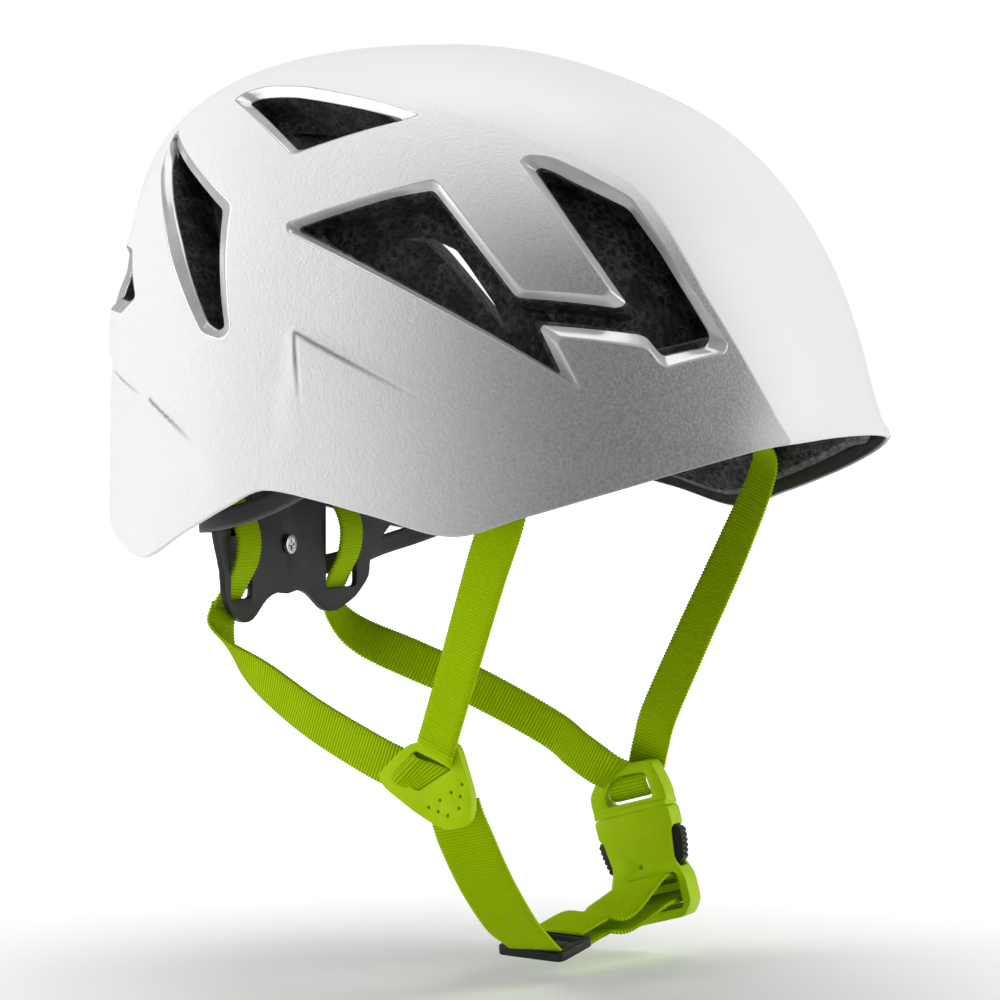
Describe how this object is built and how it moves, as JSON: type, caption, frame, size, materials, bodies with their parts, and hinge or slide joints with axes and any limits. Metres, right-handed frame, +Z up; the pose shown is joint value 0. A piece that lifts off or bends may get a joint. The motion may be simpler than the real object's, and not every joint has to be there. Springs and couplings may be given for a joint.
{
  "type": "climbing helmet",
  "caption": "Vented hard-shell climbing helmet with a foam liner, dial-adjusted nape cradle, and a webbing chin harness with a side-release buckle.",
  "frame": {"origin": "centre of the head opening at the height of the front brim", "axes": "-Y is the front of the helmet, -X is the wearer's right, +Z is up"},
  "size_m": [0.234, 0.2869, 0.3298],
  "materials": {
    "shell_white": "satin moulded plastic, finely grained on the sides",
    "foam_black": "moulded bead foam",
    "pad_grey": "brushed knit over foam",
    "plastic_black": "satin moulded plastic",
    "plastic_green": "satin moulded plastic",
    "webbing_green": "woven polyester webbing",
    "steel": "zinc plated"
  },
  "bodies": {
    "helmet": {"outer_shell": "shell_white", "foam_liner": "foam_black", "crown_pad_right": "pad_grey", "crown_pad_left": "pad_grey", "rear_pad": "pad_grey", "forehead_pad": "pad_grey", "headband_front": "plastic_black", "temple_pin_right": "steel", "temple_pin_left": "steel", "front_anchor_right": "plastic_black", "front_anchor_left": "plastic_black", "rear_anchor_right": "plastic_black", "rear_anchor_left": "plastic_black", "front_strap_right": "webbing_green", "front_strap_left": "webbing_green", "rear_strap_right": "webbing_green", "rear_strap_left": "webbing_green", "chin_strap_right": "webbing_green", "chin_strap_left": "webbing_green", "buckle_male": "plastic_green"},
    "nape": {"nape_cradle": "plastic_black", "dial_housing": "plastic_black", "click_spring": "steel", "side_arm_right": "plastic_black", "side_arm_left": "plastic_black"},
    "dial": {"dial_knob": "plastic_black", "dial_pinion": "plastic_black", "dial_screw": "steel"},
    "right_rack": {"rack_right": "plastic_black"},
    "left_rack": {"rack_left": "plastic_black"},
    "divider": {"strap_divider": "plastic_green"},
    "slider": {"chin_slider": "plastic_black"},
    "front_prong": {"buckle_prong_front": "plastic_black"},
    "rear_prong": {"buckle_prong_rear": "plastic_black"},
    "female_half": {"buckle_female": "plastic_green"}
  },
  "joints": [
    {"name": "nape_fold", "type": "hinge", "parent": "helmet", "child": "nape", "pos_m": [0, 0, -0.004], "axis": [1, 0, 0], "range_deg": [-6, 16], "deforming": ["rear_strap_right", "rear_strap_left"]},
    {"name": "dial_turn", "type": "hinge", "parent": "nape", "child": "dial", "pos_m": [0, 0.0888, -0.044], "axis": [0, 1, 0], "range_deg": [-110, 110]},
    {"name": "right_rack_slide", "type": "slide", "parent": "nape", "child": "right_rack", "axis": [1, 0, 0], "range_m": [-0.0116, 0.0116], "deforming": ["side_arm_right"]},
    {"name": "left_rack_slide", "type": "slide", "parent": "nape", "child": "left_rack", "axis": [-1, 0, 0], "range_m": [-0.0116, 0.0116], "deforming": ["side_arm_left"]},
    {"name": "divider_slide", "type": "slide", "parent": "helmet", "child": "divider", "axis": [0, 0, 1], "range_m": [-0.006, 0.006], "deforming": ["front_strap_right", "rear_strap_right", "chin_strap_right"]},
    {"name": "slider_slide", "type": "slide", "parent": "helmet", "child": "slider", "axis": [0.9847, -0.08, 0.1549], "range_m": [0, 0.012], "deforming": ["chin_strap_right", "chin_strap_left"]},
    {"name": "front_prong_press", "type": "slide", "parent": "helmet", "child": "front_prong", "axis": [0, 0.9629, -0.27], "range_m": [0, 0.0025], "stiffness_N_per_m": 2000},
    {"name": "rear_prong_press", "type": "slide", "parent": "helmet", "child": "rear_prong", "axis": [0, -0.9629, 0.27], "range_m": [0, 0.0025], "stiffness_N_per_m": 2000},
    {"name": "buckle_unclip", "type": "slide", "parent": "helmet", "child": "female_half", "axis": [0, -0.27, -0.9629], "range_m": [0, 0.026], "deforming": ["chin_strap_left", "buckle_prong_front", "buckle_prong_rear"]}
  ],
  "couplings": [
    {"joint": "right_rack_slide", "follows": "dial_turn", "m_per_rad": 0.006},
    {"joint": "left_rack_slide", "follows": "dial_turn", "m_per_rad": 0.006}
  ]
}
